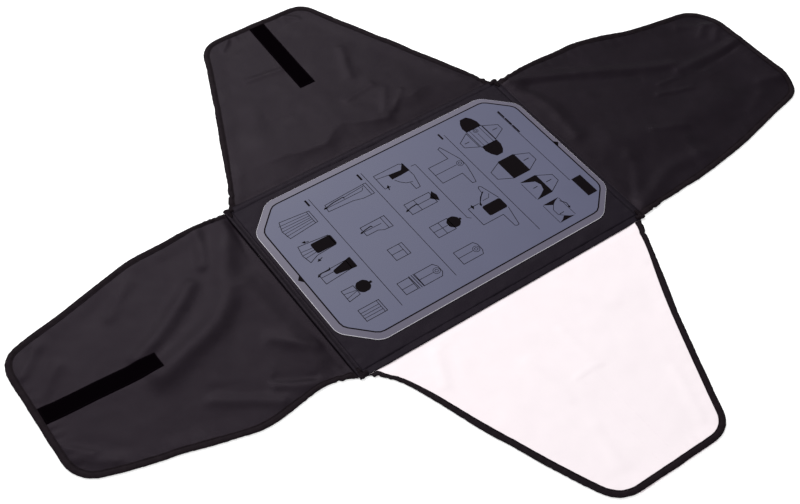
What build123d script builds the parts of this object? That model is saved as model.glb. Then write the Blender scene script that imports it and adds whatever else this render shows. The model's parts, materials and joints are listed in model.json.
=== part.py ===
from build123d import *
import os

# Garment packing folder, lying open: a soft centre panel with a loose folding board on it, and
# four wings that fold in over a stack of clothes. Every wing is one cut of fabric with a bound
# edge. It turns at its seam to stand beside the load (its riser) and again at a crease to lie
# over the load (its flap). +X runs along the board's long side, +Z is up, and the origin is
# under the middle of the centre panel, on the surface that the folder lies on.

# ---- driving dimensions, in millimetres ----

center_length = 456
center_width = 322
outer_thickness = 1.2
lining_thickness = 1.2
hem_width = 9

board_thickness = 1.2
board_end_inset = 10  # the panel is this much longer than the board at each end
board_side_inset = 25  # and this much wider at each side
board_chamfer = 40
board_corner_radius = 22
board_shift_x = 4  # the board lies loose, a little off the middle of the panel
board_shift_y = 6

fabric_thickness = 0.6
tape_thickness = 1.2  # one leg of the folded binding tape
binding_width = 10
edge_wrap = 1.0  # how far the tape goes round the fabric's edge

end_wing_reach = 349  # left and right wings, on the panel's short sides
end_wing_setback = 6  # from the panel's corner to where the wing's side starts
end_wing_knee = 120  # distance from the seam of the wing's widest place
end_wing_knee_clearance = 2  # what its widest place leaves to the walls of the other wings
end_wing_tip_width = 201

side_wing_reach = 305  # front and back wings, on the panel's long sides
side_wing_setback = 14
side_wing_tip_width = 165

tip_radius = 55

hook_width = 25
hook_length = 150
hook_thickness = 1.5

load_height = 60  # riser of the wing that closes first
press_clearance = 1.5  # slack of the cloth between one closed wing and the next
fold_gap = 0.45  # half of the slit that each fold line takes in the fabric
binding_stop = 2.0  # where the tape stops short of a fold line
corner_clearance = 0.8  # between a corner binding and the wings beside it
corner_thickness = 3.0  # how far a corner binding stands out from the panel

# ---- sizes that follow from them ----

board_length = center_length - 2 * board_end_inset
board_width = center_width - 2 * board_side_inset
end_wing_root_width = center_width - 2 * end_wing_setback
end_wing_knee_width = center_width - 2 * end_wing_knee_clearance
side_wing_root_width = center_length - 2 * side_wing_setback
fabric_z = tape_thickness  # underside of the wing fabric
binding_thickness = 2 * tape_thickness + fabric_thickness
panel_thickness = outer_thickness + lining_thickness
hinge_x = center_length / 2 + fold_gap
hinge_y = center_width / 2 + fold_gap
level_step = hook_thickness + fabric_thickness + tape_thickness + press_clearance
overhang = binding_width * 2  # the outlines run this far behind the seam, and are cut there


def wing(name, axis, hinge, reach, half_widths, order):
    """One wing: axis points outwards from the seam, and half_widths are its outline's corners."""
    return {
        "name": name,
        "plane": Plane(origin=axis * hinge, x_dir=axis, z_dir=(0, 0, 1)),
        "reach": reach,
        "corners": half_widths,
        "riser": load_height + order * level_step,
    }


end_wing_corners = [
    (-overhang, end_wing_root_width / 2),
    (0, end_wing_root_width / 2),
    (end_wing_knee, end_wing_knee_width / 2),
    (end_wing_reach, end_wing_tip_width / 2),
]
side_wing_corners = [
    (-overhang, side_wing_root_width / 2),
    (0, side_wing_root_width / 2),
    (side_wing_reach, side_wing_tip_width / 2),
]

# The last number is the order in which the wings close.
right = wing("right", Vector(1, 0, 0), hinge_x, end_wing_reach, end_wing_corners, 0)
left = wing("left", Vector(-1, 0, 0), hinge_x, end_wing_reach, end_wing_corners, 1)
front = wing("front", Vector(0, -1, 0), hinge_y, side_wing_reach, side_wing_corners, 2)
back = wing("back", Vector(0, 1, 0), hinge_y, side_wing_reach, side_wing_corners, 3)


def draw_outline(wing):
    """Draws a wing's cut outline, with its two rounded tip corners, in the current sketch."""
    near_side = [(d, -w) for d, w in wing["corners"]]
    far_side = [(d, w) for d, w in reversed(wing["corners"])]
    with BuildLine() as outline:
        Polyline(*near_side, *far_side, close=True)
    make_face(outline.edges())
    fillet(vertices().sort_by(Axis.X)[-2:], tip_radius)


def keep_between(start, end):
    """Keeps what the current sketch holds from start to end, measured outwards from the seam."""
    with Locations((start, 0)):
        Rectangle(
            end - start,
            center_length * 2,
            align=(Align.MIN, Align.CENTER),
            mode=Mode.INTERSECT,
        )


def fabric(wing, start, end):
    """The wing's fabric between two distances from its seam."""
    with BuildPart() as piece:
        with BuildSketch(wing["plane"].offset(fabric_z)):
            draw_outline(wing)
            offset(amount=-edge_wrap)
            keep_between(start, end)
        extrude(amount=fabric_thickness)
    return piece


def binding(wing, start, end):
    """The folded tape round the wing's edge, with the slot that the fabric's edge sits in."""
    with BuildPart() as piece:
        with BuildSketch(wing["plane"]):
            draw_outline(wing)
            offset(amount=-binding_width, mode=Mode.SUBTRACT)
            keep_between(start, end)
        extrude(amount=binding_thickness)
        with BuildSketch(wing["plane"].offset(fabric_z)):
            draw_outline(wing)
            offset(amount=-edge_wrap)
        extrude(amount=fabric_thickness, mode=Mode.SUBTRACT)
    return piece


def fastener_strip(wing, underside, thickness):
    """A strip of hook or loop tape on the wing's centre line, from its tip binding inwards."""
    with BuildPart() as piece:
        with BuildSketch(wing["plane"].offset(underside)):
            with Locations((wing["reach"] - binding_width, 0)):
                Rectangle(hook_length, hook_width, align=(Align.MAX, Align.CENTER))
        extrude(amount=thickness)
    return piece


def hem(side, length, width):
    """The hemmed edge of the centre panel on one side, mitred into its neighbours."""
    plane = Plane(origin=side * (width / 2), x_dir=side, z_dir=(0, 0, 1))
    with BuildPart() as piece:
        with BuildSketch(plane):
            with BuildLine():
                Polyline(
                    (0, -length / 2),
                    (0, length / 2),
                    (-hem_width, length / 2 - hem_width),
                    (-hem_width, hem_width - length / 2),
                    close=True,
                )
            make_face()
        extrude(amount=panel_thickness)
    return piece


def corner_binding(x_side, y_side):
    """The gathered tape round one corner of the centre panel, between two wings."""
    near_x = side_wing_root_width / 2 + corner_clearance
    near_y = end_wing_root_width / 2 + corner_clearance
    panel_x, panel_y = center_length / 2, center_width / 2
    far_x, far_y = panel_x + corner_thickness, panel_y + corner_thickness
    with BuildPart() as piece:
        with BuildSketch():
            with BuildLine():
                Polyline(
                    (x_side * near_x, y_side * panel_y),
                    (x_side * near_x, y_side * far_y),
                    (x_side * far_x, y_side * far_y),
                    (x_side * far_x, y_side * near_y),
                    (x_side * panel_x, y_side * near_y),
                    (x_side * panel_x, y_side * panel_y),
                    close=True,
                )
            make_face()
            outer_corner = vertices().sort_by_distance((0, 0))[-1]
            fillet(outer_corner, corner_thickness - fold_gap)
        extrude(amount=binding_thickness)
    return piece


def panel_layer(underside, thickness):
    """One layer of the centre panel, inside its hems."""
    with BuildPart() as piece:
        with BuildSketch(Plane.XY.offset(underside)):
            Rectangle(center_length - 2 * hem_width, center_width - 2 * hem_width)
        extrude(amount=thickness)
    return piece


# ---- the pieces ----

pieces = {}

# Centre panel: outer fabric against the table, lining above it, hems and corner bindings.
pieces["center_outer"] = panel_layer(0, outer_thickness)
pieces["center_lining"] = panel_layer(outer_thickness, lining_thickness)
pieces["hem_left"] = hem(Vector(-1, 0, 0), center_width, center_length)
pieces["hem_right"] = hem(Vector(1, 0, 0), center_width, center_length)
pieces["hem_front"] = hem(Vector(0, -1, 0), center_length, center_width)
pieces["hem_back"] = hem(Vector(0, 1, 0), center_length, center_width)
for x_name, x_side in (("left", -1), ("right", 1)):
    for y_name, y_side in (("front", -1), ("back", 1)):
        pieces[f"corner_binding_{y_name}_{x_name}"] = corner_binding(x_side, y_side)

# Folding board: a plastic sheet with cut corners, loose on the lining.
with BuildPart() as folding_board:
    with BuildSketch(Plane.XY.offset(panel_thickness)):
        with Locations((board_shift_x, board_shift_y)):
            Rectangle(board_length, board_width)
        chamfer(vertices(), board_chamfer)
        fillet(vertices(), board_corner_radius)
    extrude(amount=board_thickness)
pieces["folding_board"] = folding_board

# Wings: each has a riser and a flap, and each of those has its fabric and its binding.
for w in (right, left, front, back):
    crease = w["riser"]
    tip = w["reach"]
    pieces[w["name"] + "_riser_fabric"] = fabric(w, fold_gap, crease - fold_gap)
    pieces[w["name"] + "_flap_fabric"] = fabric(w, crease + fold_gap, tip)
    pieces[w["name"] + "_riser_binding"] = binding(w, binding_stop, crease - binding_stop)
    pieces[w["name"] + "_flap_binding"] = binding(w, crease + binding_stop, tip)

# Fasteners: hooks on the faces that close down, loops on the backs that they close onto.
for w in (left, back):
    pieces[w["name"] + "_hook_strip"] = fastener_strip(
        w, fabric_z + fabric_thickness, hook_thickness
    )
for w in (right, front):
    pieces[w["name"] + "_loop_strip"] = fastener_strip(w, 0, tape_thickness)

# ---- export ----

os.makedirs("parts", exist_ok=True)
for name, piece in pieces.items():
    piece.part.label = name
    export_step(piece.part, f"parts/{name}.step")
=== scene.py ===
"""Garment packing folder, lying open: a soft centre panel with a loose folding board on it, and four
bound wings that fold in over a stack of clothes. Lengths are in metres."""

import json
import math

import bmesh
import bpy
from mathutils import Matrix, Vector, noise


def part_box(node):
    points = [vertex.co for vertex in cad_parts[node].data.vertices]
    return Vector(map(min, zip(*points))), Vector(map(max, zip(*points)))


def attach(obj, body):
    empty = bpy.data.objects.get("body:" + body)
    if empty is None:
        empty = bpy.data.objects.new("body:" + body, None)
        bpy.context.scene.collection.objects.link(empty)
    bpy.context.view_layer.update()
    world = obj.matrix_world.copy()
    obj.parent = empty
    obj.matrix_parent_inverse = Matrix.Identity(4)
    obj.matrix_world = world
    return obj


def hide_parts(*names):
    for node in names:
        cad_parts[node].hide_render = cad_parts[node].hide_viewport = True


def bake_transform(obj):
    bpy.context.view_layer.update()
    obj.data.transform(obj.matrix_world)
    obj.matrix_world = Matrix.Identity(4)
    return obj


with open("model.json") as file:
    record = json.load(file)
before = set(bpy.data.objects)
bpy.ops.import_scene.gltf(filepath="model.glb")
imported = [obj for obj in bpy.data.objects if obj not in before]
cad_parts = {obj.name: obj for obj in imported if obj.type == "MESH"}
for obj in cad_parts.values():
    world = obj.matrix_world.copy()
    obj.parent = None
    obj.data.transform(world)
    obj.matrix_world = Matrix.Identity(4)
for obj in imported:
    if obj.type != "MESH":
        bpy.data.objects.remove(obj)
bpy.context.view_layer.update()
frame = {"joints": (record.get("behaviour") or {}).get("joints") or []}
joints = {joint["name"]: joint for joint in frame["joints"]}

mm = 0.001
UP = Vector((0, 0, 1))

# ---- sizes ----

panel_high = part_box("hem_back")[1]
panel_half_length = panel_high.x
panel_half_width = panel_high.y
lining_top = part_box("center_lining")[1].z
board_low, board_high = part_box("folding_board")
board_centre = (board_low + board_high) / 2
board_top = board_high.z
board_chamfer = 40 * mm
board_corner_radius = 22 * mm

fabric_thickness = 0.6 * mm
fabric_top = 1.8 * mm
cloth_grain = 2.9 * mm  # spacing of the points that a cloth's surface is shaped by
tape_grain = 1.7 * mm
tape_past_seam = 0.25 * mm  # how far the binding reaches back over the seam
stitch_pitch = 3.3 * mm
stitch_inset = 7.6 * mm  # from the wing's edge to the row that holds its binding
hem_width = 9 * mm
cloth_inset = 1.5 * mm  # how far the cloth's cut edge lies inside its binding
gather_grain = 0.35 * mm
crease_softness = 5 * mm  # how far each side of a crease the cloth takes to turn


# ---- lines and surfaces ----


def rounded(corners):
    """A smooth line that turns at each corner between the middles of the runs beside it."""
    steps = 14
    line = [corners[0]]
    for before, corner, after in zip(corners, corners[1:], corners[2:]):
        start = (before + corner) / 2
        end = (corner + after) / 2
        for step in range(steps + 1):
            share = step / steps
            line.append(start.lerp(corner, share).lerp(corner.lerp(end, share), share))
    return line


def evenly(line, spacing):
    """Points at equal distances along a line, about that spacing apart."""
    lengths = [(b - a).length for a, b in zip(line, line[1:])]
    count = max(2, round(sum(lengths) / spacing))
    step = sum(lengths) / count
    points = [line[0]]
    run, walked = 0, 0.0
    for number in range(1, count):
        target = number * step
        while walked + lengths[run] < target:
            walked += lengths[run]
            run += 1
        points.append(line[run].lerp(line[run + 1], (target - walked) / lengths[run]))
    points.append(line[-1])
    return points


def directions(line):
    """The direction of a line at each of its points."""
    last = len(line) - 1
    return [(line[min(i + 1, last)] - line[max(i - 1, 0)]).normalized() for i in range(last + 1)]


def surface(columns, rows, place, pattern):
    """A grid shaped by place(u, v), whose weave follows pattern(u, v), with u and v from 0 to 1."""
    bm = bmesh.new()
    weave = bm.loops.layers.uv.verify()
    bmesh.ops.create_grid(bm, x_segments=columns, y_segments=rows, size=0.5, calc_uvs=True)
    for face in bm.faces:
        for loop in face.loops:
            loop[weave].uv = pattern(*loop[weave].uv)
    for vert in bm.verts:
        vert.co = place(vert.co.x + 0.5, vert.co.y + 0.5)
    return bm


def close_tube(bm):
    """Joins the two long edges of a rolled-up grid, and caps its ends."""
    bmesh.ops.remove_doubles(bm, verts=bm.verts, dist=1e-7)
    open_edges = [edge for edge in bm.edges if edge.is_boundary]
    bmesh.ops.holes_fill(bm, edges=open_edges, sides=0)
    bmesh.ops.recalc_face_normals(bm, faces=bm.faces)


def piece(name, bm, slot, *materials, sharp=None):
    """The finished mesh as an object of the model."""
    mesh = bpy.data.meshes.new(name)
    bm.to_mesh(mesh)
    bm.free()
    for material in materials:
        mesh.materials.append(material)
    mesh.shade_smooth()
    if sharp:
        mesh.set_sharp_from_angle(angle=math.radians(sharp))
    made = bpy.data.objects.new(name, mesh)
    bpy.context.scene.collection.objects.link(made)
    return made


def ripple(*where):
    """Smooth irregular waves between about -1 and 1."""
    return noise.noise(Vector(where)) * 1.6


def rise(value, start, end):
    """0 before start, 1 after end, and a soft step between them."""
    share = min(max((value - start) / (end - start), 0), 1)
    return share * share * (3 - 2 * share)


# ---- materials ----


mauve_gloss = (1.0, 0.8, 1.0)
plain_gloss = (1.0, 1.0, 1.0)


class Look:
    """A material whose colour and relief follow patterns made from its coordinates."""

    def __init__(self, name, colour, roughness, specular, coordinates, gloss=plain_gloss):
        self.material = bpy.data.materials.new(name)
        self.material.use_nodes = True
        self.nodes = self.material.node_tree.nodes
        self.links = self.material.node_tree.links
        self.shader = self.nodes["Principled BSDF"].inputs
        self.colour = colour
        self.shader["Base Color"].default_value = (*colour, 1)
        self.shader["Roughness"].default_value = roughness
        self.shader["Specular IOR Level"].default_value = specular
        self.shader["Specular Tint"].default_value = (*gloss, 1)
        self.place = self.nodes.new("ShaderNodeTexCoord").outputs[coordinates]

    def cloudiness(self, scale, detail):
        """Irregular patches of that scale, per metre."""
        node = self.nodes.new("ShaderNodeTexNoise")
        node.inputs["Scale"].default_value = scale
        node.inputs["Detail"].default_value = detail
        self.links.new(self.place, node.inputs["Vector"])
        return node.outputs["Fac"]

    def span(self, value, low, high):
        """The value brought to run from low to high."""
        node = self.nodes.new("ShaderNodeMapRange")
        sizes = {"From Min": 0.3, "From Max": 0.7, "To Min": low, "To Max": high}
        for name, size in sizes.items():
            node.inputs[name].default_value = size
        self.links.new(value, node.inputs["Value"])
        return node.outputs["Result"]

    def threads(self, direction, pitch):
        """Parallel threads, one every pitch, as a height from 0 to 1."""
        node = self.nodes.new("ShaderNodeTexWave")
        node.bands_direction = direction
        node.inputs["Scale"].default_value = math.pi / 10 / pitch
        node.inputs["Distortion"].default_value = 0.6
        node.inputs["Detail"].default_value = 1.0
        self.links.new(self.place, node.inputs["Vector"])
        return node.outputs["Fac"]

    def combine(self, operation, first, second):
        """The sum, or the larger, of two patterns."""
        node = self.nodes.new("ShaderNodeMath")
        node.operation = operation
        self.links.new(first, node.inputs[0])
        self.links.new(second, node.inputs[1])
        return node.outputs["Value"]

    def tint(self, amount, patches):
        """Lightens and darkens the colour by that amount, following the patches."""
        mix = self.nodes.new("ShaderNodeMix")
        mix.data_type = "RGBA"
        mix.inputs["A"].default_value = (*[part * (1 - amount) for part in self.colour], 1)
        mix.inputs["B"].default_value = (*[part * (1 + amount) for part in self.colour], 1)
        self.links.new(self.span(patches, 0.0, 1.0), mix.inputs["Factor"])
        self.links.new(mix.outputs["Result"], self.shader["Base Color"])

    def vary_roughness(self, patches, roughness, amount):
        """Makes the surface a little rougher and smoother in patches."""
        varied = self.span(patches, roughness - amount, roughness + amount)
        self.links.new(varied, self.shader["Roughness"])

    def relief(self, height, depth):
        """Gives the surface a fine relief of that depth."""
        bump = self.nodes.new("ShaderNodeBump")
        bump.inputs["Strength"].default_value = 1.0
        bump.inputs["Distance"].default_value = depth
        self.links.new(height, bump.inputs["Height"])
        self.links.new(bump.outputs["Normal"], self.shader["Normal"])


def woven(name, colour, pitch, roughness, specular, depth=0.03, blotch=0.1, gloss=mauve_gloss):
    """A plain weave with that many millimetres from thread to thread."""
    look = Look(name, colour, roughness, specular, "UV", gloss)
    across = look.threads("X", pitch * mm)
    along = look.threads("Y", 0.9 * pitch * mm)
    weave = look.combine("MAXIMUM", across, along)
    slubs = look.cloudiness(900.0, 2.0)
    look.relief(look.combine("ADD", weave, slubs), depth * mm)
    patches = look.cloudiness(28.0, 4.0)
    look.tint(blotch, patches)
    look.vary_roughness(patches, roughness, 0.04)
    return look.material


def ribbed_tape(name, colour, roughness, specular):
    """Folded binding tape, ribbed across its length."""
    look = Look(name, colour, roughness, specular, "UV", mauve_gloss)
    ribs = look.threads("X", 1.1 * mm)
    threads_along = look.threads("Y", 0.7 * mm)
    look.relief(look.combine("ADD", ribs, threads_along), 0.05 * mm)
    look.tint(0.25, look.cloudiness(120.0, 3.0))
    return look.material


def nylon_pile(name, colour, roughness, scale):
    """The bristly or tufted face of fastener tape."""
    look = Look(name, colour, roughness, 0.0, "Object")
    tufts = look.cloudiness(scale, 4.0)
    look.relief(tufts, 0.2 * mm)
    look.tint(0.35, tufts)
    return look.material


def frosted_plastic(name, colour, roughness, specular):
    """Milky sheet plastic with a fine frosting."""
    look = Look(name, colour, roughness, specular, "Object")
    look.relief(look.cloudiness(2500.0, 2.0), 0.008 * mm)
    clouds = look.cloudiness(9.0, 2.0)
    look.tint(0.03, clouds)
    look.vary_roughness(clouds, roughness, 0.03)
    return look.material


def printed_ink(name, colour, roughness):
    """Screen-printed ink, a little uneven."""
    look = Look(name, colour, roughness, 0.01, "Object")
    grain = look.cloudiness(1500.0, 2.0)
    look.relief(grain, 0.01 * mm)
    look.tint(0.15, grain)
    return look.material


wing_satin = woven("wing_satin", (0.0085, 0.0060, 0.0088), 0.5, 0.4, 0.063)
wing_white = woven("wing_white", (0.90, 0.82, 0.85), 0.5, 0.65, 0.2, 0.02, 0.012, plain_gloss)
lining_nylon = woven("lining_nylon", (0.0085, 0.0066, 0.0102), 0.7, 0.5, 0.065, 0.05)
outer_polyester = woven("outer_polyester", (0.012, 0.010, 0.012), 0.8, 0.7, 0.25, 0.06)
hem_nylon = woven("hem_nylon", (0.0085, 0.0066, 0.0095), 0.6, 0.52, 0.085, 0.05)
edge_tape = ribbed_tape("edge_tape", (0.0090, 0.0063, 0.0078), 0.62, 0.05)
thread_black = ribbed_tape("thread_black", (0.005, 0.0035, 0.0045), 0.5, 0.05)
hook_nylon = nylon_pile("hook_nylon", (0.0015, 0.0008, 0.0015), 0.5, 1400.0)
loop_nylon = nylon_pile("loop_nylon", (0.006, 0.005, 0.006), 0.8, 1800.0)
board_frost = frosted_plastic("board_frost", (0.118, 0.109, 0.152), 0.5, 0.27)
# The cut edge's near-white colour is partly the frosted cut and partly a painted highlight of light caught
# in the edge.
board_edge_frost_and_highlight = frosted_plastic("board_edge_frost_and_highlight", (0.80, 0.78, 0.84), 0.35, 0.5)
board_tint = frosted_plastic("board_tint", (0.093, 0.096, 0.156), 0.45, 0.2)
board_ink = printed_ink("board_ink", (0.0055, 0.0040, 0.0050), 0.6)


# ---- wings ----


class Fold:
    """A soft ridge of the cloth along a line, or a furrow if its height is negative."""

    def __init__(self, line, height, width):
        corners = [Vector(point) * mm for point in line]
        self.height = height * mm
        self.width = width * mm
        self.line = evenly(rounded(corners) + [corners[-1]], self.width)
        self.reach = 2.5 * self.width
        self.low = [min(point[axis] for point in corners) - self.reach for axis in (0, 1)]
        self.high = [max(point[axis] for point in corners) + self.reach for axis in (0, 1)]

    def height_at(self, d, w):
        """How much the fold adds at a point of its wing."""
        if not (self.low[0] < d < self.high[0] and self.low[1] < w < self.high[1]):
            return 0.0
        nearest = self.reach
        for a, b in zip(self.line, self.line[1:]):
            run_d, run_w = b.x - a.x, b.y - a.y
            share = ((d - a.x) * run_d + (w - a.y) * run_w) / (run_d * run_d + run_w * run_w)
            share = min(max(share, 0), 1)
            nearest = min(nearest, math.hypot(d - a.x - run_d * share, w - a.y - run_w * share))
        return self.height * math.exp(-((nearest / self.width) ** 2))


class Wing:
    """A wing in its own frame: d runs outwards from its seam, w along the seam, and z is up."""

    def __init__(self, name, plus_side, minus_side, folds, tip_lift=0, root_tape=(0.8, 0.8), brow=()):
        seam = Vector(joints[name + "_seam_fold"]["pos_m"])
        crease = Vector(joints[name + "_crease_fold"]["pos_m"])
        self.name = name
        self.seam = Vector((seam.x, seam.y, 0))
        self.crease = (crease - seam).length
        self.outwards = (crease - seam).normalized()
        self.along = UP.cross(self.outwards)
        self.sides = {
            1: rounded([Vector((d, w)) * mm for d, w in plus_side]),
            -1: rounded([Vector((d, -w)) * mm for d, w in minus_side]),
        }
        self.reach = plus_side[-1][0] * mm
        self.folds = [Fold(*fold) for fold in folds]
        self.tip_lift = tip_lift * mm
        self.root_tape = {1: root_tape[0], -1: root_tape[1]}
        self.brow = [Vector(point) * mm for point in brow]

    def place(self, d, w, z):
        """The point in the model's frame."""
        return self.seam + self.outwards * d + self.along * w + UP * z

    def half_width(self, d, side):
        """How far the outline lies from the wing's middle line, at that distance from its seam."""
        line = self.sides[side]
        for a, b in zip(line, line[1:]):
            if a.x <= d <= b.x:
                share = (d - a.x) / max(b.x - a.x, 1e-9)
                return abs(a.y + (b.y - a.y) * share)
        return abs(line[0].y if d < line[0].x else line[-1].y)

    def slope_to_brow(self, d, w):
        """The cloth's climb from the seam to its wavy brow, and its slow fall beyond."""
        for a, b in zip(self.brow, self.brow[1:]):
            if a.y <= w < b.y:
                brow = a.x + (b.x - a.x) * (w - a.y) / (b.y - a.y)
                crest = (2.9 - 1.7 * rise(abs(w), 105 * mm, 150 * mm)) * mm
                if d < brow:
                    return crest * (max(d - 4 * mm, 0) / (brow - 4 * mm)) ** 1.6
                return crest * max(1 - (d - brow) / (80 * mm), 0)
        return 0.0

    def height(self, d, w):
        """How far the cloth stands above where it would lie flat, or below it."""
        side = 1 if w >= 0 else -1
        to_side = (self.half_width(d, side) - abs(w)) * 0.94
        to_tip = self.reach - d
        to_edge = min(to_side, to_tip)
        along = w if to_tip < to_side else d + side
        settled = rise(to_edge, 9 * mm, 34 * mm)
        total = -0.85 * mm * settled  # away from the tape the cloth sinks to the table
        total += sum(fold.height_at(d, w) for fold in self.folds) * rise(d, 0.5 * mm, 7 * mm)
        total += self.slope_to_brow(d, w) * rise(to_edge, 4 * mm, 20 * mm)
        total += 0.42 * mm * settled * ripple(d * 17, w * 17, self.crease * 90)
        total += 0.16 * mm * settled * ripple(d * 60, w * 60, self.crease * 50)
        # Short puckers along the seam that holds the tape.
        near_tape = rise(to_edge, 5 * mm, 10 * mm) * (1 - rise(to_edge, 12 * mm, 30 * mm))
        total += 0.28 * mm * near_tape * ripple(along * 120, self.crease * 70, side)
        total += self.tip_lift * rise(d, self.reach * 0.8, self.reach) * (1 - rise(abs(w), 0.06, 0.1))
        # It is held down where it goes under the hem.
        total -= 0.5 * mm * (1 - rise(d, 1 * mm, 9 * mm)) * rise(to_edge, 6 * mm, 20 * mm)
        return max(total, -1.05 * mm * rise(to_edge, 8 * mm, 14 * mm))


right = Wing(
    "right",
    [(-1.2, 157), (10, 157), (22, 158.5), (50, 161.5), (75, 161), (96, 159.3), (150, 158.8)]
    + [(184, 149), (228, 134), (275, 125), (359, 112.5), (359, 18)],
    [(-1.2, 158), (8, 157), (18, 156), (33, 154.5), (70, 153), (124, 150.5), (212, 138), (290, 119.5)]
    + [(359, 105), (359, 22)],
    [
        ([(14, 147), (62, 126), (119, 99), (198, 55), (236, 40)], 2.8, 9),
        ([(28, 118), (100, 80), (170, 46)], -1.2, 9),
        ([(15, 130), (33, 77), (24, 7)], 2.0, 11),
        ([(8, -144), (18, -123), (38, -96), (60, -62)], 1.6, 12),
        ([(17, -143), (59, -123), (96, -113), (150, -118)], 1.7, 11),
        ([(12, -120), (48, -76)], -1.0, 8),
        ([(60, -30), (150, -62), (250, -52)], 2.2, 26),
        ([(119, -45), (161, -65)], 1.1, 6),
        ([(135, -131), (147, -87)], 0.9, 9),
        ([(176, 4), (224, -13)], 1.1, 4),
        ([(190, 19), (219, 16)], 0.8, 3),
        ([(236, 25), (296, 22), (349, 21)], 2.2, 8),
        ([(262, 9), (317, 11), (346, 12)], -0.9, 4),
        ([(300, 96), (342, 70)], 1.3, 7),
        ([(315, 62), (337, 78)], 0.9, 6),
        ([(328, 44), (351, 64)], 0.9, 6),
        ([(318, -60), (345, -72)], 1.1, 7),
        ([(262, -96), (300, -80)], 1.1, 8),
    ],
    tip_lift=5.0,
)
left = Wing(
    "left",
    [(-1.2, 158), (6, 154), (22, 147.5), (40, 145), (75, 149), (116, 156), (149, 152), (204, 134)]
    + [(269, 119), (339, 96), (339, 20)],
    [(-1.2, 158), (8, 158), (20, 160), (45, 162), (72, 161.4), (94, 159.3), (140, 158.9), (190, 146)]
    + [(247, 130), (290, 121), (340, 108), (341, 32)],
    [
        ([(10, -134), (34, -98), (54, -62), (64, -36), (96, -8), (150, 10), (190, 22)], 4.2, 17),
        ([(96, -78), (130, -52), (168, -30), (200, -16)], 2.8, 12),
        ([(46, -152), (54, -122), (66, -98)], 2.2, 9),
        ([(38, -40), (36, 20), (28, 110)], 2.3, 15),
        ([(4, -140), (5, 0), (4, 135)], -1.4, 6),
        ([(157, 87), (90, 134)], 1.4, 9),
        ([(146, 76), (84, 122)], -0.6, 8),
        ([(86, 112), (46, 136)], 1.7, 9),
        ([(80, 103), (42, 127)], -1.2, 5),
        ([(54, 50), (16, 90)], 1.7, 9),
        ([(160, -126), (201, -92)], 1.2, 10),
        ([(292, -100), (328, -70)], 1.4, 9),
        ([(286, -62), (320, -30)], 1.2, 9),
        ([(288, 94), (324, 66)], 1.6, 9),
        ([(304, 72), (332, 42)], 1.4, 6),
    ],
)
back = Wing(
    "back",
    [(-1.2, 219), (7, 214), (20, 206), (41, 197), (150, 150), (245, 110), (302.5, 88)]
    + [(302.5, 33)],
    [(-1.2, 219), (15, 213), (32, 206), (58, 194.5), (95, 178), (161, 149.5), (226, 119.5)]
    + [(250, 108), (302.5, 88), (302.5, 35)],
    [
        ([(30, -69), (58, -102)], 0.9, 4),
        ([(36, -56), (74, -84)], 0.7, 5),
        ([(200, 72), (193, 18)], 1.0, 5),
        ([(182, -80), (128, -58)], 1.3, 8),
        ([(92, -74), (85, -25)], 0.8, 5),
        ([(90, 120), (150, 92)], 1.0, 14),
        ([(276, 66), (292, 48)], 1.0, 4),
        ([(276, -66), (292, -48)], 0.9, 4),
    ],
    brow=[(17, -209), (30, -178), (46, -135), (40, -108), (44, -74), (23, -56), (23, -48), (37, -15)]
    + [(50, 4), (44, 22), (28, 46), (33, 83), (40, 100), (44, 138), (43, 184), (30, 205)],
)
front = Wing(
    "front",
    [(-1.2, 219), (8, 215), (22, 207.5), (42, 201), (76, 184), (125, 160), (253, 106.5), (300, 88)]
    + [(304.5, 36)],
    [(-1.2, 218), (5, 211), (14, 203), (24, 194.5), (35, 187.5), (68, 174), (105, 164), (175, 137)]
    + [(250, 107), (299, 83), (304.5, 30)],
    [
        ([(18, -131), (62, -149)], 1.2, 7),
        ([(24, -114), (60, -130)], -0.7, 6),
        ([(94, -50), (160, -40)], 1.0, 9),
        ([(83, 15), (138, 19)], 0.9, 8),
        ([(144, -16), (141, 4), (145, 24)], 0.6, 3),
        ([(203, 91), (269, 69)], 1.0, 8),
        ([(30, 60), (80, 96)], 0.7, 12),
        ([(210, -40), (262, -52)], 0.7, 9),
    ],
    root_tape=(0.85, 0.68),
)


def side_points(wing, side, inset, rows):
    """Points along one side of a wing, from the seam to the tip edge, moved in from its outline."""
    line = wing.sides[side]
    length = sum((b - a).length for a, b in zip(line, line[1:]))
    points = evenly(line, length / rows)
    turned = []
    for point, way in zip(points, directions(points)):
        turned.append(point + Vector((way.y, -way.x)) * side * inset)
    turned[0].x = points[0].x
    turned[-1].x = wing.reach - inset
    return turned


def make_wing_cloth(wing, cloth, slot):
    """The wing's one cut of fabric, from under the hem to its tip."""
    rows = round(wing.reach / cloth_grain)
    plus = side_points(wing, 1, cloth_inset, rows)
    minus = side_points(wing, -1, cloth_inset, rows)
    rows = min(len(plus), len(minus)) - 1
    columns = round(2 * abs(plus[0].y) / cloth_grain)

    def flat(u, v):
        row = round(u * rows)
        return minus[row].lerp(plus[row], v)

    def place(u, v):
        at = flat(u, v)
        return wing.place(at.x, at.y, fabric_top + wing.height(at.x, at.y))

    bm = surface(rows, columns, place, flat)
    bmesh.ops.solidify(bm, geom=bm.faces, thickness=fabric_thickness)
    bmesh.ops.recalc_face_normals(bm, faces=bm.faces)
    made = piece(wing.name + "_wing_fabric", bm, slot, cloth)
    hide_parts(wing.name + "_riser_fabric", wing.name + "_flap_fabric")
    return made


# The folded tape's section: distance in from the wing's edge, and height.
tape_section = [
    (9.0, 0.15), (7.7, 0.3), (6.6, 0.05), (4.0, 0.0), (1.6, 0.0), (0.5, 0.35), (0.0, 1.0),
    (0.0, 2.0), (0.5, 2.7), (1.7, 3.1), (4.0, 3.2), (6.4, 2.85), (7.3, 2.1), (8.1, 2.1), (9.0, 2.3),
    (9.0, 1.85), (5.0, 1.82), (1.3, 1.8), (1.3, 1.2), (5.0, 1.18), (9.0, 1.15),
]  # fmt: skip


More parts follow.
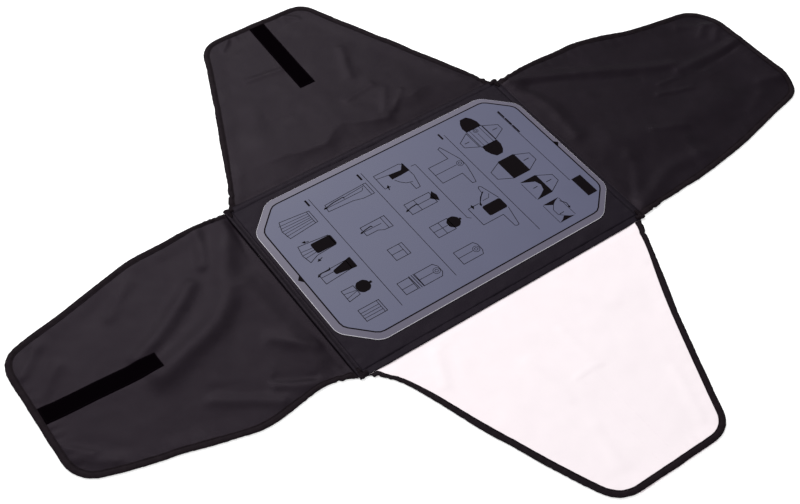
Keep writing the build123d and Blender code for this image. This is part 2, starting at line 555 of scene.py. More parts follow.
def binding_line(wing):
    """The wing's outline from one end of its seam round its tip to the other."""
    line = [point.copy() for point in wing.sides[1] + wing.sides[-1][::-1]]
    line[0].x = line[-1].x = 0.0
    return evenly(line, tape_grain)


def bunching(walked, length):
    """How much the tape is gathered: 1 at the seam, where the wings meet, and little further on."""
    from_end = min(walked, length - walked)
    return rise(from_end, 1 * mm, 9 * mm) * (1 - 0.85 * rise(from_end, 14 * mm, 48 * mm))


def tape_point(wing, line, ways, column, inwards, z):
    """A point of the binding, where the tape is gathered and its edge wanders a little."""
    length = (len(line) - 1) * tape_grain
    walked = column * tape_grain
    bunch = bunching(walked, length)
    way = ways[column]
    side = 1 if line[column].y > 0 else -1
    root_share = 1 - rise(line[column].x, 25 * mm, 110 * mm)
    root_share *= rise(line[column].x, 3 * mm, 16 * mm)
    narrow = 1 - root_share * (1 - wing.root_tape[side])
    # The edge wanders slowly everywhere, and in short scallops where the tape is gathered.
    wander = ripple(walked * 28, wing.crease * 80, 1) * 0.7 * mm
    wander += bunch * ripple(walked * 190, wing.crease * 60, 2) * 2.1 * mm
    wander = max(wander, -1.1 * mm)
    t = inwards * narrow + wander * (1 - inwards / (12 * mm))
    d = max(line[column].x + way.y * t, -tape_past_seam)
    w = line[column].y - way.x * t
    swell = 0.14 + 0.75 * bunch
    lump = ripple(walked * 210, inwards * 160, wing.crease * 40) * swell * mm
    # The tape is thin at the seam, so that it clears the hem when the wing stands up.
    above = max(z - fabric_top, 0)
    z -= above * 0.85 * (1 - rise(d, 2.0 * mm, 4.5 * mm))
    crown = min(inwards / (3 * mm), 1) * rise(z, 1.9 * mm, 2.4 * mm)
    z += crown * min(max(lump, -0.6 * mm), 1.0 * mm)
    z += max(wing.height(d, w), -z * 0.9)
    return wing.place(d, w, z)


def make_wing_binding(wing):
    """The tape folded over the wing's edge, all the way round."""
    line = binding_line(wing)
    ways = directions(line)
    columns = len(line) - 1
    section = [(t * mm, z * mm) for t, z in tape_section]
    girth = len(section)

    def place(u, v):
        inwards, z = section[round(v * girth) % girth]
        return tape_point(wing, line, ways, round(u * columns), inwards, z)

    def pattern(u, v):
        return u * columns * tape_grain, v * 36 * mm

    bm = surface(columns, girth, place, pattern)
    close_tube(bm)
    made = piece(wing.name + "_wing_binding", bm, "edge_binding", edge_tape, sharp=70)
    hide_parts(wing.name + "_riser_binding", wing.name + "_flap_binding")
    return made


def add_stitch(bm, centre, way, length=2.3 * mm, thickness=0.5 * mm):
    """One stitch: a short plump run of thread."""
    across = UP.cross(way).normalized()
    turn = Matrix((way, across, way.cross(across))).transposed().to_4x4()
    shape = Matrix.Diagonal((length / 2, thickness / 2, thickness / 2.4, 1))
    centre.z = max(centre.z, thickness / 2.4)
    place = Matrix.Translation(centre) @ turn @ shape
    bmesh.ops.create_icosphere(bm, subdivisions=1, radius=1, matrix=place)


def make_wing_stitching(wing):
    """The seam that holds the binding: a row of stitches on its face and one on its back."""
    line = binding_line(wing)
    ways = directions(line)
    every = stitch_pitch / tape_grain
    bm = bmesh.new()
    for number in range(1, int((len(line) - 2) / every)):
        column = round(number * every)
        for z in (2.2 * mm, 0.22 * mm):
            inner = tape_point(wing, line, ways, column, stitch_inset, z)
            ahead = tape_point(wing, line, ways, column + 1, stitch_inset, z)
            add_stitch(bm, inner, (ahead - inner).normalized())
    return piece(wing.name + "_wing_stitching", bm, "edge_binding", thread_black)


def fold_at_crease(made, wing):
    """Bakes the piece's placement into its mesh; the ends of the crease's soft band are worked out but not
    used.
    """
    start = wing.place(wing.crease - crease_softness, 0, fabric_top)
    end = wing.place(wing.crease + crease_softness, 0, fabric_top)
    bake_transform(made)
    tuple(start)
    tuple(end)


def wing_area(wing):
    """The flat area of the wing's fabric."""
    plus = side_points(wing, 1, cloth_inset, 60)
    minus = side_points(wing, -1, cloth_inset, 60)
    outline = plus + minus[::-1]
    return abs(sum(a.x * b.y - b.x * a.y for a, b in zip(outline, outline[1:] + outline[:1]))) / 2


def make_wing(wing, cloth, slot):
    """A whole wing: its cloth, its binding and its stitching."""
    sheet = make_wing_cloth(wing, cloth, slot)
    binding = make_wing_binding(wing)
    stitching = make_wing_stitching(wing)
    widest = max(abs(point.y) for line in wing.sides.values() for point in line)
    wing_area(wing)
    for made in (sheet, binding, stitching):
        fold_at_crease(made, wing)


make_wing(right, wing_satin, "wing_fabric_dark")
make_wing(left, wing_satin, "wing_fabric_dark")
make_wing(back, wing_satin, "wing_fabric_dark")
make_wing(front, wing_white, "wing_fabric_white")


# ---- fastener strips ----


def strip_sizes(node, wing):
    """Where a strip starts and ends along its wing, and half its width."""
    low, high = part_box(node)
    corners = [(corner - wing.seam).dot(wing.outwards) for corner in (low, high)]
    widths = [(corner - wing.seam).dot(wing.along) for corner in (low, high)]
    return min(corners), max(corners), max(widths)


def make_hook_strip(wing, shift, drift, swing):
    """Hook tape on a wing's inner face: a woven base between two selvedges, set with hooks."""
    node = wing.name + "_hook_strip"
    start, end, half = strip_sizes(node, wing)
    start, end = start + shift, end + shift
    columns, rows = 100, 20

    def at(u, v):
        d = start + (end - start) * u
        w = half * (2 * v - 1) + drift + swing * (0.5 - u) * 2
        return d, w

    def place(u, v):
        d, w = at(u, v)
        selvedge = 0.12 * mm * rise(abs(2 * v - 1), 0.82, 0.86)
        return wing.place(d, w, fabric_top + 0.72 * mm - selvedge + wing.height(d, w))

    bm = surface(columns, rows, place, at)
    bmesh.ops.solidify(bm, geom=bm.faces, thickness=0.7 * mm)
    along, across = 92, 13
    for i in range(along):
        for j in range(across):
            u = (i + 0.5 + 0.5 * (j % 2)) / (along + 1)
            v = 0.1 + 0.8 * (j + 0.5) / across
            add_hook(bm, place(u, v), wing)
    bmesh.ops.recalc_face_normals(bm, faces=bm.faces)
    made = piece(wing.name + "_hook_tape", bm, "hook_tape", hook_nylon, sharp=50)
    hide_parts(node)
    return made, at


def add_hook(bm, foot, wing):
    """One stiff hook: a small bent arm that leans along the tape."""
    size = 0.55 * mm
    for lean, lift, length in ((0.0, 0.3, 0.75), (0.28, 0.72, 0.6)):
        centre = foot + wing.outwards * size * lean + UP * size * lift
        tilt = Matrix.Rotation(lean * 3.2, 4, wing.along)
        shape = Matrix.Diagonal((size * 0.36, size * 0.42, size * length, 1))
        turn = Matrix((wing.outwards, wing.along, UP)).transposed().to_4x4()
        place = Matrix.Translation(centre) @ tilt @ turn @ shape
        bmesh.ops.create_cube(bm, size=1.0, matrix=place)


def make_loop_strip(wing):
    """Loop tape on the back of a wing, tufted on the side that faces down."""
    node = wing.name + "_loop_strip"
    start, end, half = strip_sizes(node, wing)
    columns, rows = 150, 28

    def at(u, v):
        return start + (end - start) * u, half * (2 * v - 1)

    def place(u, v):
        d, w = at(u, v)
        pile = 1 - rise(abs(2 * v - 1), 0.84, 0.9)
        tuft = 0.5 + 0.5 * ripple(d * 900, w * 900, 3)
        z = 0.55 * mm - pile * (0.25 + 0.25 * tuft) * mm
        return wing.place(d, w, max(z + wing.height(d, w) * 0.9, 0.03 * mm))

    bm = surface(columns, rows, place, at)
    bmesh.ops.solidify(bm, geom=bm.faces, thickness=-0.6 * mm)
    bmesh.ops.recalc_face_normals(bm, faces=bm.faces)
    made = piece(wing.name + "_loop_tape", bm, "loop_tape", loop_nylon)
    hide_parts(node)
    return made, at


def make_strip_stitching(wing, at, name, height):
    """The rectangle of stitches that holds a strip down."""
    corners = [at(0.012, 0.07), at(0.988, 0.07), at(0.988, 0.93), at(0.012, 0.93)]
    corners = [Vector(corner) for corner in corners]
    bm = bmesh.new()
    for a, b in zip(corners, corners[1:] + corners[:1]):
        points = evenly([a, b], stitch_pitch)
        for first, second in zip(points, points[1:]):
            middle = (first + second) / 2
            way = wing.outwards * (b - a).x + wing.along * (b - a).y
            z = height + wing.height(middle.x, middle.y)
            add_stitch(bm, wing.place(middle.x, middle.y, z), way.normalized(), 2.2 * mm, 0.36 * mm)
    return piece(name, bm, "hook_tape", thread_black)


for wing, shift, drift, swing in ((left, -8, -2.5, 3.0), (back, -1, 0.0, 2.5)):
    tape, at = make_hook_strip(wing, shift * mm, drift * mm, swing * mm)
    seam = make_strip_stitching(wing, at, wing.name + "_hook_stitching", fabric_top + 0.66 * mm)
    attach(tape, wing.name + "_flap")
    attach(seam, wing.name + "_flap")

for wing in (right, front):
    tape, at = make_loop_strip(wing)
    seam = make_strip_stitching(wing, at, wing.name + "_loop_stitching", fabric_top + 0.05 * mm)
    if wing is front:
        seam.data.materials[0] = wing_white
    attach(tape, wing.name + "_flap")
    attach(seam, wing.name + "_flap")


# ---- centre panel ----

# Each hem's section: distance in from the panel's edge, and height.
plain_hem = [
    (9.2, 0.25), (6.6, 0.3), (5.2, 0.25), (3.8, 0.0), (1.2, 0.0), (0.3, 0.35), (0.0, 1.1), (0.25, 2.0),
    (1.1, 2.5), (2.2, 2.4), (3.2, 2.62), (5.6, 2.68), (7.4, 2.55), (8.4, 2.3), (9.2, 2.3), (9.2, 1.2),
]  # fmt: skip
raised_welt = [
    (9.2, 0.25), (6.6, 0.3), (5.2, 0.25), (3.8, 0.0), (1.2, 0.0), (0.55, 0.6), (0.55, 1.9), (0.15, 2.4),
    (0.0, 2.9), (0.4, 3.4), (1.3, 3.8), (2.6, 3.8), (3.8, 3.4), (4.8, 2.7), (5.8, 2.15), (6.8, 1.95),
    (8.0, 1.9), (9.2, 1.95), (9.2, 1.2),
]  # fmt: skip
crisp_edge = [
    (9.2, 0.25), (6.6, 0.3), (5.2, 0.25), (3.8, 0.0), (0.9, 0.0), (0.2, 0.25), (0.0, 0.9), (0.0, 2.0),
    (0.3, 2.42), (1.0, 2.5), (3.2, 2.46), (5.6, 2.42), (7.2, 2.4), (8.2, 2.38), (9.2, 2.36), (9.2, 1.2),
]  # fmt: skip


def off_board(x, y):
    """How far a point of the panel lies outside the board, or 0 under it."""
    beside_x = max(board_low.x - x, x - board_high.x, 0)
    beside_y = max(board_low.y - y, y - board_high.y, 0)
    corner = abs(x - board_centre.x) + abs(y - board_centre.y) + board_chamfer
    corner -= board_high.x - board_centre.x + board_high.y - board_centre.y
    return max(math.hypot(beside_x, beside_y), corner / math.sqrt(2))


def make_hem(side, outwards, section, top_rows, pucker, material):
    """One hemmed edge of the centre panel, mitred at its ends, and its stitching."""
    along = UP.cross(outwards)
    edge = outwards * panel_half_length if outwards.x else outwards * panel_half_width
    half = panel_half_width if outwards.x else panel_half_length
    columns = round(2 * half / (2.0 * mm))
    section = [(t * mm, z * mm) for t, z in section]
    girth = len(section)
    seed = outwards.x * 2 + outwards.y * 5

    def point(where, t, z):
        top = rise(z, 1.6 * mm, 2.3 * mm)
        z += top * pucker * mm * ripple(where * 150, t * 90, seed)
        z += top * 0.5 * pucker * mm * ripple(where * 40, t * 60, seed)
        wander = abs(0.3 * mm * ripple(where * 22, seed, 4))
        at = edge + along * where - outwards * (t + wander * (1 - t / (12 * mm)))
        at.z = z
        from_board = off_board(at.x, at.y)
        if from_board < 3 * mm:
            at.z = min(z, board_low.z - 0.05 * mm + rise(from_board, 0.5 * mm, 3 * mm) * mm)
        return at

    def place(u, v):
        t, z = section[round(v * girth) % girth]
        return point((2 * u - 1) * (half - t), t, z)

    def pattern(u, v):
        return u * 2 * half, v * 26 * mm

    bm = surface(columns, girth, place, pattern)
    close_tube(bm)
    made = piece(side + "_hem", bm, "panel_hem", material, sharp=70)
    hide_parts("hem_" + side)
    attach(made, "base")
    threads_bm = bmesh.new()
    for t, z, thickness in [(*row, 0.42) for row in top_rows] + [(5.9, 0.24, 0.4)]:
        span_half = half - t * mm - 2 * mm
        count = round(2 * span_half / stitch_pitch)
        for number in range(count):
            where = (number + 0.5) / count * 2 * span_half - span_half
            at = point(where, t * mm, z * mm)
            if off_board(at.x, at.y) < 1 * mm:
                at.z = min(at.z, board_low.z - 0.2 * mm)
            add_stitch(threads_bm, at, along, 2.2 * mm, thickness * mm)
    seam = piece(side + "_hem_stitching", threads_bm, "panel_hem", thread_black)
    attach(seam, "base")


make_hem("left", Vector((-1, 0, 0)), raised_welt, [(6.9, 1.98)], 0.3, hem_nylon)
make_hem(
    "right", Vector((1, 0, 0)), plain_hem, [(2.2, 2.42), (8.3, 2.35)], 0.22, lining_nylon
)
make_hem("front", Vector((0, -1, 0)), crisp_edge, [], 0.18, lining_nylon)
make_hem(
    "back", Vector((0, 1, 0)), plain_hem, [(2.2, 2.42), (8.3, 2.35)], 0.25, lining_nylon
)


def make_panel_layer(layer, top, thickness, slot, material, height):
    """One layer of the centre panel, reaching under its hems."""
    half_x = panel_half_length - hem_width + 0.1 * mm
    half_y = panel_half_width - hem_width + 0.1 * mm

    def flat(u, v):
        return half_x * (2 * u - 1), half_y * (2 * v - 1)

    def place(u, v):
        x, y = flat(u, v)
        return Vector((x, y, top + height(x, y)))

    bm = surface(round(2 * half_x / (2.6 * mm)), round(2 * half_y / (2.6 * mm)), place, flat)
    bmesh.ops.solidify(bm, geom=bm.faces, thickness=thickness)
    bmesh.ops.recalc_face_normals(bm, faces=bm.faces)
    made = piece(f"panel_{layer}_cloth", bm, slot, material)
    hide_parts("center_" + layer)
    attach(made, "base")


def lining_height(x, y):
    """Small puckers where the lining shows between the board and the hems."""
    free = rise(off_board(x, y), 0.5 * mm, 6 * mm)
    to_end = panel_half_length - hem_width - abs(x)
    to_side = panel_half_width - hem_width - abs(y)
    hemmed = (1 - rise(min(to_end, to_side), 0, 14 * mm)) * rise(min(to_end, to_side), -1 * mm, 3 * mm)
    along = x if to_side < to_end else y
    pucker = 0.45 * ripple(along * 110, to_end * 8, to_side * 8) * hemmed
    wave = 0.5 * ripple(x * 24, y * 24, 6) + 0.2 * ripple(x * 70, y * 70, 7)
    welt_furrow = 0.45 * (1 - rise(x + panel_half_length, 11 * mm, 15 * mm))
    return free * (pucker + wave * (1 - welt_furrow) + 0.05) * mm - (welt_furrow + 0.06) * mm


def outer_height(x, y):
    """The underside's slight waves. The sheet's lower face stays on the floor or just above it."""
    return 0.12 * mm * ripple(x * 20, y * 20, 9) - 0.05 * mm


make_panel_layer(
    "lining", lining_top, 0.55 * mm, "panel_lining", lining_nylon, lining_height
)
make_panel_layer(
    "outer", 1.35 * mm, 1.1 * mm, "panel_fabric", outer_polyester, outer_height
)


def make_corner_gather(y_name, x_name, seed):
    """The bunched tape round one inner corner, between two wings' bindings."""
    x_side = 1 if x_name == "right" else -1
    y_side = 1 if y_name == "back" else -1
    # Along the tape: how far out past the panel's corner each way, and half the tape's width there.
    stations = [
        (-4.8, -15.0, 2.3), (-4.9, -9.0, 3.3), (-4.8, -6.0, 3.4), (-3.2, -1.6, 3.4), (-6.2, -3.2, 3.5),
        (-10.0, -4.2, 3.2), (-16.5, -4.6, 2.3),
    ]  # fmt: skip
    corners = [Vector((x, y, r)) * mm for x, y, r in stations]
    line = evenly(rounded(corners), gather_grain)
    ways = directions([Vector((p.x, p.y)) for p in line])
    columns, girth = len(line) - 1, 16

    def place(u, v):
        column = round(u * columns)
        at = line[column]
        angle = 2 * math.pi * (round(v * girth) % girth) / girth
        walked = column * gather_grain
        bulge = 1 + 0.16 * math.sin(walked / mm * 2.9 + seed + math.sin(walked / mm + seed))
        bulge += 0.12 * ripple(walked * 500, math.cos(angle) * 0.6, math.sin(angle) * 0.6 + seed)
        outwards = Vector((-ways[column].y, ways[column].x))
        spread = at.z * bulge * math.cos(angle)
        lift = 1.75 * mm * (0.8 + 0.5 * at.z / (3.9 * mm)) * bulge * math.sin(angle)
        x = panel_half_length + at.x + outwards.x * spread
        y = panel_half_width + at.y + outwards.y * spread
        return Vector((x_side * x, y_side * y, max(2.6 * mm + lift, 0.05 * mm)))

    def pattern(u, v):
        return u * columns * gather_grain, v * 14 * mm

    bm = surface(columns, girth, place, pattern)
    close_tube(bm)
    made = piece(f"corner_gather_{y_name}_{x_name}", bm, "edge_binding", edge_tape)
    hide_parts(f"corner_binding_{y_name}_{x_name}")
    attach(made, "base")


for seed, (y_name, x_name) in enumerate(
    [("front", "left"), ("front", "right"), ("back", "left"), ("back", "right")]
):
    make_corner_gather(y_name, x_name, seed)


# ---- folding board ----


def bevel(bm, parts, offset, segments, affect):
    """Rounds corners or edges off, or cuts them with a single segment."""
    bmesh.ops.bevel(
        bm,
        geom=parts,
        offset=offset,
        offset_type="OFFSET",
        segments=segments,
        profile=0.5,
        affect=affect,
        material=-1,
    )


def cut_cornered_face(bm, half, chamfer, centre, z):
    """A flat rectangle with its corners cut off."""
    place = Matrix.Translation((centre.x, centre.y, z)) @ Matrix.Diagonal((half.x, half.y, 1, 1))
    made = bmesh.ops.create_grid(bm, x_segments=1, y_segments=1, size=1.0, matrix=place)
    bevel(bm, made["verts"], chamfer, 1, "VERTICES")


def make_board():
    """The board: frosted sheet plastic with rounded cut corners, and a near-white cut edge that is partly
    its frosted cut and partly a painted highlight of light caught in the edge.
    """
    bm = bmesh.new()
    half = (board_high - board_low) / 2
    cut_cornered_face(bm, half, board_chamfer, board_centre, board_low.z)
    setback = board_corner_radius * math.tan(math.radians(22.5))
    bevel(bm, bm.verts[:], setback, 10, "VERTICES")
    bmesh.ops.reverse_faces(bm, faces=bm.faces)
    raised = bmesh.ops.extrude_face_region(bm, geom=bm.faces[:])
    upper = [part for part in raised["geom"] if isinstance(part, bmesh.types.BMVert)]
    bmesh.ops.translate(bm, verts=upper, vec=UP * (board_high.z - board_low.z))
    bmesh.ops.recalc_face_normals(bm, faces=bm.faces)
    rims = [edge for edge in bm.edges if abs(edge.calc_face_angle(0)) > 1.0]
    bevel(bm, rims, 0.32 * mm, 2, "EDGES")
    # Flat faces take the board's plastic. The rim faces take the near-white edge material, which is partly
    # frosted cut and partly painted highlight.
    for face in bm.faces:
        face.material_index = 0 if abs(face.normal.z) > 0.99 else 1
    made = piece("board", bm, "board_plastic", board_frost, board_edge_frost_and_highlight, sharp=35)
    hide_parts("folding_board")
    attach(made, "board")


make_board()

# ---- the board's print ----

ink_line = 0.9  # a thin line's width, in millimetres
ink_level = board_top + 0.05 * mm
ink_thickness = 0.03 * mm


def on_board(x, y, z=ink_level):
    """The point in the model's frame, from millimetres about the board's middle."""
    return Vector((board_centre.x + x * mm, board_centre.y + y * mm, z))


def flat_shape(bm, points, level=ink_level):
    """A filled shape, from points in millimetres about the board's middle."""
    return bm.faces.new([bm.verts.new(on_board(x, y, level)) for x, y in points])


def outline_shape(bm, points, width=ink_line):
    """A closed line of even width along the inside of a shape."""
    face = flat_shape(bm, points)
    face.normal_update()
    bmesh.ops.inset_individual(bm, faces=[face], thickness=width * mm, use_even_offset=True)
    bmesh.ops.delete(bm, geom=[face], context="FACES")


def stroke(bm, *points, width=ink_line):
    """A line from point to point."""
    for a, b in zip(points, points[1:]):
        a, b = Vector(a), Vector(b)
        middle = (a + b) / 2
        turn = Matrix.Rotation(math.atan2(b.y - a.y, b.x - a.x), 4, "Z")
        size = Matrix.Diagonal(((b - a).length * mm, width * mm, 1, 1))
        place = Matrix.Translation(on_board(*middle)) @ turn @ size
        bmesh.ops.create_grid(bm, x_segments=1, y_segments=1, size=0.5, matrix=place)


def strokes(bm, width, *lines):
    """Several lines of one width."""
    for points in lines:
        stroke(bm, *points, width=width)


def box_points(left, right, bottom, top):
    """The corners of a box."""
    return [(left, bottom), (right, bottom), (right, top), (left, top)]


def pill_points(left, right, bottom, top, cut):
    """A box with its corners cut off."""
    return [
        (left + cut, bottom), (right - cut, bottom), (right, bottom + cut), (right, top - cut),
        (right - cut, top), (left + cut, top), (left, top - cut), (left, bottom + cut),
    ]  # fmt: skip


def softened(points, radius):
    """The same shape with each corner turned into a short curve."""
    corners = [Vector(point) for point in points]
    curved = []
    for before, corner, after in zip([corners[-1]] + corners, corners, corners[1:] + corners[:1]):
        start = corner + (before - corner).normalized() * radius
        end = corner + (after - corner).normalized() * radius
        curved += [start, (start + corner * 2 + end) / 4, end]
    return curved


def collar(bm, x, y, radius):
    """The neck of a garment: one ring inside another."""
    for size in (radius, radius * 0.5):
        points = [
            (x + size * math.cos(math.tau * i / 12), y + size * math.sin(math.tau * i / 12))
            for i in range(12)
        ]
        outline_shape(bm, points, 0.7)


def arrow(bm, *points, head=4.0, width=1.2):
    """A line from point to point with a filled head at its end."""
    a, b = Vector(points[-2]), Vector(points[-1])
    way = (b - a).normalized()
    side = Vector((-way.y, way.x)) * head * 0.5
    stroke(bm, *points[:-1], b - way * head * 0.8, width=width)
    flat_shape(bm, [b, b - way * head + side, b - way * head - side])


def draw_layout(bm):
    """Column lines, caption bars, label and side marks."""
    for x, top, bottom in ((-127.5, 109, -106), (-43.5, 109, -106), (93, 104, -106), (182.5, 98, -61)):
        stroke(bm, (x, top), (x, bottom), width=0.8)
    stroke(bm, (20, 81.5), (27, 81), (27, -36), (31, -40), width=0.8)
    for x in (-132.8, -49.2, 87):
        stroke(bm, (x, 110), (x, 98), width=2.8)
    for top, bottom in ((99, 84), (82.5, 67), (65.5, 49.5)):
        stroke(bm, (184.4, top), (184.4, bottom), width=2.4)
    flat_shape(bm, box_points(185, 200.5, -97, -61))
    flat_shape(bm, [(-208, -6), (-208, 6), (-213, 0.5)])
    flat_shape(bm, [(211, -2.5), (216.4, 3.5), (211, 9)])


def draw_skirts(bm):
    """First column: folding a skirt."""
    outline_shape(bm, [(-184, 64), (-138, 69), (-138, 92), (-182, 96.5), (-187, 80)])
    stroke(bm, (-142, 69.5), (-142, 92), width=0.8)
    for y_left, y_right in ((70, 73.5), (75, 77.5), (80, 80.5), (85, 84), (90, 88)):
        stroke(bm, (-186, y_left), (-142, y_right), width=0.7)
    outline_shape(bm, [(-184, 15), (-170, 21), (-140, 23), (-140, 43), (-184, 47.5), (-187, 31)])
    flat_shape(bm, softened(box_points(-168.6, -137.8, 23.5, 42), 3))
    for y in (25, 31, 37):
        stroke(bm, (-186, y), (-168, y + (31 - y) * 0.3), width=0.7)
    arrow(bm, (-167, 47), (-176, 50.5), head=5)
    arrow(bm, (-167, 15), (-176, 12), head=5)
    outline_shape(bm, [(-187, -25), (-145, -21.5), (-145, -5), (-187, -6)])
    flat_shape(bm, softened([(-168, -18.5), (-137.8, -22.8), (-137.8, -3.2), (-168, -11)], 2))
    stroke(bm, (-187, -13), (-168, -13), width=0.8)
    arrow(bm, (-169, -4), (-170, -7.5), (-182, -6.5), (-190, -10), head=4, width=1.5)
    outline_shape(bm, [(-178.6, -65), (-160, -62), (-160, -45), (-178.6, -44.5)])
    flat_shape(bm, softened(pill_points(-159.7, -140.7, -62.6, -43.7, 5), 2))
    flat_shape(bm, box_points(-140.7, -137, -54.5, -51))
    strokes(bm, 0.7, [(-178, -59), (-160, -55)], [(-178, -51), (-160, -54)])
    outline_shape(bm, box_points(-178, -146.3, -102, -81))
    for y in (-87.5, -92, -96.5):
        stroke(bm, (-178, y), (-150, y), width=0.7)
    stroke(bm, (-150, -102), (-150, -81), width=0.8)


def draw_trousers(bm):
    """Second column: folding trousers."""
    outline_shape(
        bm,
        [(-118, 75), (-80, 73), (-66, 69), (-48, 68.5), (-48, 91.5), (-84, 90), (-116, 88)],
    )
    strokes(
        bm, 0.8, [(-53, 69), (-53, 91)], [(-118, 81.7), (-60, 81.7), (-56, 86)],
        [(-88, 85.5), (-54, 88)],
    )  # fmt: skip
    arrow(bm, (-87, 83.5), (-88, 86.5), (-104, 85.5), (-121, 82), head=4, width=1.5)
    outline_shape(bm, [(-100, 12), (-82, 12), (-75, 8), (-61, 7), (-61, 29.5), (-100, 29)])
    strokes(bm, 0.8, [(-67.5, 8), (-67.5, 29)], [(-100, 19.8), (-72, 19.8)])
    arrow(bm, (-85, 21), (-86, 23.5), (-96, 22), (-105, 19.5), head=4, width=1.6)
    outline_shape(bm, box_points(-92.2, -68.8, -43.7, -21.5))
    strokes(bm, 0.8, [(-92, -32.6), (-74, -32.6)], [(-74, -43.5), (-74, -22)])
    outline_shape(bm, box_points(-114, -95, -96, -74))
    stroke(bm, (-114, -86), (-95, -86), width=0.8)
    for x in (-94, -90.5, -87.5):
        stroke(bm, (x + 0.5, -97), (x - 0.5, -73), width=1.0)
    outline_shape(bm, [(-87, -97), (-58, -97), (-53.5, -91), (-53.5, -80), (-58, -73.5), (-87, -73.5)])
    collar(bm, -59.5, -85.5, 5.2)
    stroke(bm, (-87, -85.5), (-65, -85.5), width=0.8)


def draw_shirts(bm):
    """Third column: folding a shirt in."""
    stroke(bm, (-24, 66.5), (-33, 66.5), (-33, 94.5), (8, 94.5), (14, 90))
    stroke(bm, (-33, 88), (-15, 85), width=0.8)
    flat_shape(bm, [(-15, 75.5), (-1, 75.5), (-1, 84), (-15, 85.5)])
    flat_shape(bm, [(-1, 75.5), (14.5, 76.5), (13.5, 94), (5, 83.5), (-1, 84)])
    strokes(
        bm, 0.9, [(-13, 73), (-9, 66), (-3, 60), (6, 57)],
        [(13.5, 76), (14, 66), (9, 44), (2, 44), (2, 57)],
    )  # fmt: skip
    arrow(bm, (-29, 62), (-26, 71), head=5, width=1.6)
    outline_shape(bm, [(-29.5, 8.2), (12, 8.2), (12, 29.5), (-29.5, 29.5)])
    flat_shape(bm, [(6.5, 19), (15.6, 9), (18.3, 19.5), (15.6, 29)])
    strokes(bm, 0.8, [(-14, 19), (7, 19)], [(-13.5, 9), (-13.5, 29)])
    arrow(bm, (-13, 18), (-14, 21), (-24, 20), (-34, 17), head=4.5, width=1.6)
    outline_shape(bm, box_points(-25, 4, -43.7, -21.4))
    strokes(bm, 0.8, [(-25, -32.3), (-2, -32.3)], [(-10.5, -43.5), (-10.5, -21.5)])
    flat_shape(bm, softened(pill_points(-1.5, 17, -41.5, -22.5, 5.5), 1.5))
    flat_shape(bm, box_points(17, 19.5, -34, -30.5))
    outline_shape(bm, [(-25, -97.5), (7, -97.5), (10.5, -91), (10.5, -80), (7, -73.8), (-25, -73.8)])
    collar(bm, 4, -85.5, 5.2)
    stroke(bm, (-25, -85.5), (-1, -85.5), width=0.8)


def draw_jackets(bm):
    """Fourth column: laying a shirt face down, and folding it over the board."""
    outline_shape(
        bm,
        [
            (37, 31), (70, 31), (70.5, 9.5), (76.5, 8), (80.5, 22), (84.5, 41), (84.5, 55), (78.5, 75),
            (74, 88.5), (69, 86.5), (70, 65), (37, 65),
        ],
    )  # fmt: skip
    collar(bm, 79, 48.3, 5.2)
    stroke(bm, (37, 48.5), (73, 48.5), width=0.8)
    strokes(
        bm, 0.9, [(55, -25), (37, -25), (37, -58.6), (70, -58.6), (70.5, -82)],
        [(70.5, -82), (73, -84), (76.5, -83.5), (83.5, -52)],
        [(55, -27), (70, -12), (71, -3), (73, -0.5), (76, -2.5), (83.5, -31.5)],
    )  # fmt: skip
    stroke(bm, (62, -24), (72, -24), (77, -18), width=0.7)
    arrow(bm, (72.5, -11), (64, -17), (58, -24), (54.5, -31), head=4, width=1.4)
    flat_shape(bm, [(43, -30), (46, -26), (44.5, -21), (42, -24)])
    flat_shape(bm, softened(box_points(54, 84, -51, -32), 3))


def draw_folders(bm):
    """Fifth column: closing the folder's wings, in four steps."""
    outline_shape(bm, box_points(121.5, 148, 55, 91))
    collar(bm, 134.7, 86, 4)
    strokes(bm, 0.7, [(127, 56), (127, 90)], [(134, 56), (134, 80)], [(143, 56), (143, 90)])
    cap = [(122, 90), (147.4, 90), (147.4, 100), (144, 109), (139, 115), (129, 115), (124, 108), (121, 99)]
    flat_shape(bm, cap)
    flat_shape(bm, [(x + 1, 146 - y) for x, y in cap])
    for root, tip in ((120.5, 101.5), (148, 168.5)):
        outline_shape(bm, [(root, 57), (root, 89.5), (tip, 78.5), (tip, 67.5)])
        stroke(bm, ((root + tip * 3) / 4, 73.5), ((root * 2 + tip) / 3, 73.5), width=1.1)
    flat_shape(bm, box_points(123, 149.6, -16, 21))
    for root, tip in ((123, 102.5), (149.6, 170)):
        outline_shape(bm, [(root, -16), (root, 20), (tip, 10.5), (tip, -5)])
    stroke(bm, (154, 3), (163, 3), width=1.1)
    stroke(bm, (123.5, -30), (123.5, -62), width=0.7)
    flat_shape(
        bm,
        [
            (123, -64.2), (149.4, -64.2), (149.4, -27), (123, -27), (134, -32.6), (142, -36.5), (145, -45),
            (142, -54), (134, -59),
        ],
    )  # fmt: skip
    stroke(bm, (132, -45), (139, -45), width=1.1)
    outline_shape(bm, [(149.4, -64), (149.4, -27.5), (170, -39), (170, -52.5)])
    stroke(bm, (154, -45.5), (163, -45.5), width=1.1)
    flat_shape(bm, [(123, -76), (149.6, -76), (141, -79.3), (135.5, -83.3), (129.5, -80)])
    flat_shape(bm, [(122, -112.8), (147.4, -112.8), (141, -110), (135, -105.3), (129, -110)])
    strokes(bm, 0.7, [(122.5, -77), (122.5, -112)], [(149, -77), (149, -112)])
    stroke(bm, (135.5, -83), (129.5, -90), (129.5, -100), (135, -105), width=0.8)
    stroke(bm, (131.5, -100.5), (139, -100.2), width=1.1)
    arrow(bm, (147, -82), (152, -90), (150.5, -100), head=4, width=1.2)


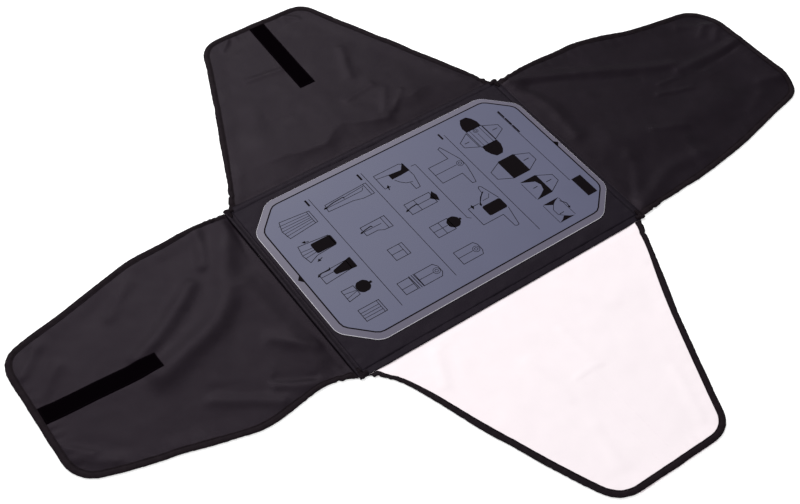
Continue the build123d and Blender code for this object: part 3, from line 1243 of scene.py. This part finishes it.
def make_print():
    """The printed field, its frame line and the folding pictures, as thin layers of ink."""
    bm = bmesh.new()
    frame_points = softened(pill_points(-208, 211.5, -126, 127.3, 34), 7)
    outline_shape(bm, frame_points, 1.9)
    for draw in (draw_layout, draw_skirts, draw_trousers, draw_shirts, draw_jackets, draw_folders):
        draw(bm)
    for face in bm.faces:
        face.material_index = 1
    flat_shape(bm, frame_points, board_top + 0.01 * mm).material_index = 0
    raised = bmesh.ops.extrude_face_region(bm, geom=bm.faces[:])
    upper = [part for part in raised["geom"] if isinstance(part, bmesh.types.BMVert)]
    bmesh.ops.translate(bm, verts=upper, vec=UP * ink_thickness)
    bmesh.ops.recalc_face_normals(bm, faces=bm.faces)
    made = piece("board_print", bm, "board_print", board_tint, board_ink, sharp=30)
    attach(made, "board")


make_print()


# ---- floor, light and camera ----


def make_floor():
    """A plain pale floor."""
    bm = bmesh.new()
    bmesh.ops.create_grid(bm, x_segments=1, y_segments=1, size=8.0)
    mesh = bpy.data.meshes.new("studio_floor")
    bm.to_mesh(mesh)
    bm.free()
    floor = bpy.data.objects.new("studio_floor", mesh)
    floor.location.z = -0.2 * mm
    bpy.context.scene.collection.objects.link(floor)
    pale = Look("pale_floor", (0.95, 0.95, 0.95), 0.9, 0.0, "Object")
    pale.shader["Emission Color"].default_value = (1, 1, 1, 1)
    pale.shader["Emission Strength"].default_value = 0.35
    mesh.materials.append(pale.material)


def aim(thing, place, target, roll=0.0):
    """Puts a light or the camera in its place, looking at the target."""
    back = (Vector(place) - Vector(target)).normalized()
    turn = back.to_track_quat("Z", "Y").to_matrix() @ Matrix.Rotation(roll, 3, "Z")
    thing.matrix_world = Matrix.Translation(place) @ turn.to_4x4()


def make_softbox(name, place, width, height, power):
    """A large soft light, aimed at the middle of the folder."""
    light = bpy.data.lights.new(name, "AREA")
    light.shape = "RECTANGLE"
    light.size = width
    light.size_y = height
    light.energy = power
    lamp = bpy.data.objects.new(name, light)
    bpy.context.scene.collection.objects.link(lamp)
    aim(lamp, place, (0, 0, 0))


def make_world():
    """Even light from a white room."""
    world = bpy.data.worlds.new("soft_room")
    world.use_nodes = True
    background = world.node_tree.nodes["Background"]
    background.inputs["Color"].default_value = (1.0, 1.0, 1.0, 1)
    background.inputs["Strength"].default_value = 0.36
    bpy.context.scene.world = world


def make_camera():
    """The view from above the folder's front left side."""
    camera = bpy.data.cameras.new("camera")
    camera.sensor_width = 36
    camera.lens = 57.2
    camera.clip_end = 30
    holder = bpy.data.objects.new("camera", camera)
    bpy.context.scene.collection.objects.link(holder)
    eye = (-0.6998, -0.8677, 1.2568)
    middle_of_view = (-0.076, -0.028, 0.0036)
    aim(holder, eye, middle_of_view, roll=math.radians(1.59))
    bpy.context.scene.camera = holder


make_floor()
make_world()
make_softbox("key", (0.25, 2.4, 2.6), 2.6, 1.6, 108)
make_softbox("fill", (-1.8, -1.6, 2.8), 2.6, 2.6, 48)
make_camera()
bpy.context.scene.view_settings.view_transform = "Standard"
